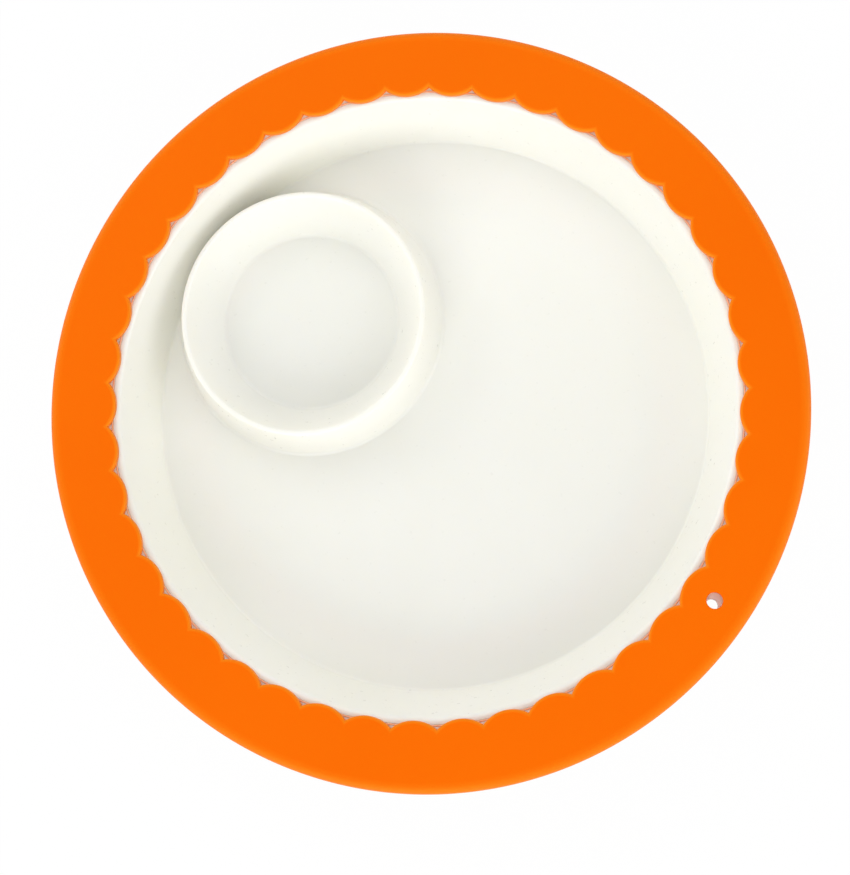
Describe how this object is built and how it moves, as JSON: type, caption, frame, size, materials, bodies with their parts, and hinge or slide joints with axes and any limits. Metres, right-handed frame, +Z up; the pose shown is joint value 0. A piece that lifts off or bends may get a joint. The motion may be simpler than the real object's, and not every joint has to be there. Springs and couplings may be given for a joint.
{
  "type": "suction bowl",
  "caption": "Round feeding bowl with a moulded dip cup, a scalloped silicone ring over its wide flange and a suction foot beneath.",
  "frame": {"origin": "on the table, under the axis of the bowl", "axes": "+Z up along the bowl's axis, -Y towards the suction foot's release tab, the dip cup towards -X and +Y"},
  "size_m": [0.2159, 0.216, 0.0362],
  "materials": {
    "bowl_plastic": "glossy moulded cream-white plastic",
    "ring_silicone": "smooth satin orange silicone",
    "foot_silicone": "smooth satin orange silicone"
  },
  "bodies": {
    "foot": {"suction_base": "foot_silicone"},
    "bowl_body": {"bowl": "bowl_plastic"},
    "ring": {"rim_ring": "ring_silicone"}
  },
  "joints": [
    {"name": "bowl_lift", "type": "slide", "parent": "foot", "child": "bowl_body", "axis": [0, 0, 1], "range_m": [0, 0.04]},
    {"name": "ring_lift", "type": "slide", "parent": "bowl_body", "child": "ring", "axis": [0, 0, 1], "range_m": [0, 0.03]}
  ]
}
